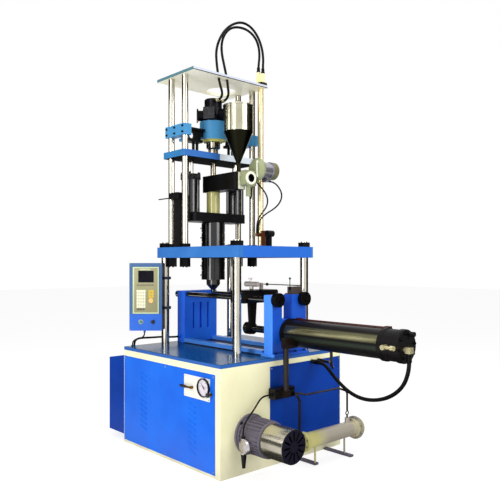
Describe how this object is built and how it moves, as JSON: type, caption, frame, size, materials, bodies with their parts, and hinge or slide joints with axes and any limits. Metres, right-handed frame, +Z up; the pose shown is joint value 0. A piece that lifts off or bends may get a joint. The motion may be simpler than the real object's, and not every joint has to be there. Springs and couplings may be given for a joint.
{
  "type": "injection moulding machine",
  "caption": "Vertical injection moulding machine with a horizontal hydraulic clamp on a closed base cabinet, with hopper, control box, drive motor and oil cooler.",
  "frame": {"origin": "middle of the base footprint, on the floor", "axes": "+Z up, +X along the clamp toward its cylinder, +Y away from the operator"},
  "size_m": [2.719, 1.376, 3.7249],
  "materials": {
    "cream_paint": "smooth cream enamel",
    "blue_panel": "bright blue enamel",
    "deep_blue_panel": "deep blue enamel",
    "dark_blue_gloss": "glossy dark blue enamel",
    "cabinet_blue": "dark blue enamel",
    "white_plate": "white enamel",
    "gauge_black": "gloss black with a white dial",
    "needle_black": "matt black",
    "valve_brass": "turned brass",
    "handle_black": "moulded black",
    "column_chrome": "hard chrome, ground",
    "guide_chrome": "hard chrome, ground",
    "nut_black": "black oxide",
    "platen_blue": "blue enamel",
    "top_cream": "cream enamel",
    "riser_cream": "cream enamel",
    "switch_black": "moulded black",
    "barrel_steel": "dark turned steel",
    "heater_steel": "sheet steel, heat marked",
    "nozzle_steel": "dark steel",
    "feed_cream": "yellow green enamel",
    "feed_plate_blue": "teal blue enamel",
    "cylinder_black": "gloss black enamel",
    "rod_chrome": "hard chrome, ground",
    "hopper_steel": "polished stainless steel",
    "gear_cream": "pale green enamel",
    "thrust_blue": "teal blue enamel",
    "carriage_blue": "teal blue enamel, black arms",
    "motor_black": "black enamel",
    "screw_steel": "dark steel",
    "clamp_blue": "blue enamel",
    "bed_blue": "blue enamel",
    "clamp_end_blue": "blue enamel",
    "tie_chrome": "hard chrome, ground",
    "tie_nut_black": "black oxide",
    "crosshead_black": "black enamel",
    "clamp_rod_chrome": "hard chrome, ground",
    "clamp_cylinder_black": "gloss black enamel",
    "end_cap_black": "gloss black enamel",
    "fitting_brass": "plated steel and brass",
    "switch_grey": "grey brown housing",
    "lever_steel": "blackened rod with a ball",
    "pipe_brown": "dark painted steel pipe",
    "manifold_black": "black enamel",
    "motor_grey": "grey enamel on cast iron",
    "cowl_aluminium": "silver sheet",
    "fan_black": "moulded black",
    "terminal_aluminium": "cast and turned",
    "cooler_cream": "pale cream enamel",
    "box_blue": "blue enamel, cream key face",
    "button_green": "green push button",
    "knob_black": "black knob",
    "hose_black": "black rubber hose",
    "hose_black_inner": "black rubber hose",
    "clamp_hose_black": "black rubber hose",
    "gear_cable_black": "black cable sheath",
    "gear_cable_grey": "black cable sheath",
    "control_cable_black": "black cable sheath",
    "clamp_cable_black": "black cable sheath",
    "motor_cable_black": "black cable sheath"
  },
  "bodies": {
    "frame": {"base_frame": "cream_paint", "front_panel": "blue_panel", "end_panel": "deep_blue_panel", "base_slab": "dark_blue_gloss", "side_cabinet": "cabinet_blue", "gauge_plate": "white_plate", "pressure_gauge": "gauge_black", "gauge_valve": "valve_brass", "lower_columns": "column_chrome", "upper_columns": "guide_chrome", "column_nuts": "nut_black", "injection_platen": "platen_blue", "top_plate": "top_cream", "riser_duct": "riser_cream", "switch_rail": "switch_black", "fixed_clamp_platen": "clamp_blue", "clamp_bed": "bed_blue", "cylinder_platen": "clamp_end_blue", "tie_bars": "tie_chrome", "tie_bar_nuts": "tie_nut_black", "clamp_cylinder": "clamp_cylinder_black", "cylinder_end_cap": "end_cap_black", "hydraulic_fittings": "fitting_brass", "switch_box": "switch_grey", "hydraulic_pipes": "pipe_brown", "valve_manifold": "manifold_black", "motor_body": "motor_grey", "motor_cowl": "cowl_aluminium", "motor_terminal_box": "terminal_aluminium", "oil_cooler": "cooler_cream", "motor_hose_outer": "hose_black", "motor_hose_inner": "hose_black_inner", "cylinder_hose": "clamp_hose_black", "control_cable": "control_cable_black", "clamp_cable": "clamp_cable_black", "motor_cable": "motor_cable_black"},
    "injection_unit": {"barrel": "barrel_steel", "heater_bands": "heater_steel", "nozzle": "nozzle_steel", "feed_block": "feed_cream", "feed_plate": "feed_plate_blue", "injection_cylinders": "cylinder_black", "hopper": "hopper_steel", "gear_unit": "gear_cream", "gear_cable_outer": "gear_cable_black", "gear_cable_inner": "gear_cable_grey"},
    "thrust_carriage": {"thrust_plate": "thrust_blue", "motor_carriage": "carriage_blue", "hydraulic_motor": "motor_black", "injection_rods": "rod_chrome"},
    "screw": {"screw": "screw_steel"},
    "crosshead": {"crosshead": "crosshead_black", "clamp_rod": "clamp_rod_chrome"},
    "control_box": {"control_box": "box_blue"},
    "start_button": {"start_button": "button_green"},
    "selector_knob": {"selector_knob": "knob_black"},
    "gauge_needle": {"gauge_needle": "needle_black"},
    "gauge_handle": {"gauge_handle": "handle_black"},
    "motor_fan": {"motor_fan": "fan_black"},
    "limit_lever": {"limit_lever": "lever_steel"}
  },
  "joints": [
    {"name": "unit_slide", "type": "slide", "parent": "frame", "child": "injection_unit", "axis": [0, 0, 1], "range_m": [-0.09, 0], "deforming": ["gear_cable_outer", "gear_cable_inner"]},
    {"name": "thrust_slide", "type": "slide", "parent": "frame", "child": "thrust_carriage", "axis": [0, 0, 1], "range_m": [-0.11, 0]},
    {"name": "screw_spin", "type": "hinge", "parent": "thrust_carriage", "child": "screw", "pos_m": [-0.318, 0.054, 2.5], "axis": [0, 0, 1], "continuous": true},
    {"name": "clamp_slide", "type": "slide", "parent": "frame", "child": "crosshead", "axis": [1, 0, 0], "range_m": [-0.3, 0.1]},
    {"name": "box_swivel", "type": "hinge", "parent": "frame", "child": "control_box", "pos_m": [-0.524, -0.327, 1.289], "axis": [0, 0, 1], "range_deg": [-60, 15]},
    {"name": "start_press", "type": "slide", "parent": "control_box", "child": "start_button", "axis": [-0.7417, 0.6708, 0], "range_m": [0, 0.005], "stiffness_N_per_m": 400},
    {"name": "selector_turn", "type": "hinge", "parent": "control_box", "child": "selector_knob", "pos_m": [-0.48423, -0.4843, 1.042], "axis": [0.7417, -0.6708, 0], "range_deg": [-45, 45]},
    {"name": "needle_turn", "type": "hinge", "parent": "frame", "child": "gauge_needle", "pos_m": [0.482, -0.68, 0.642], "axis": [0, 1, 0], "range_deg": [0, 270]},
    {"name": "handle_turn", "type": "hinge", "parent": "frame", "child": "gauge_handle", "pos_m": [0.563, -0.69, 0.603], "axis": [0, 1, 0], "continuous": true},
    {"name": "fan_spin", "type": "hinge", "parent": "frame", "child": "motor_fan", "pos_m": [1, -0.384, 0.29], "axis": [1, 0, 0], "continuous": true},
    {"name": "lever_swing", "type": "hinge", "parent": "frame", "child": "limit_lever", "pos_m": [0.622, 0.085, 1.35], "axis": [0, 1, 0], "range_deg": [-20, 20]}
  ]
}
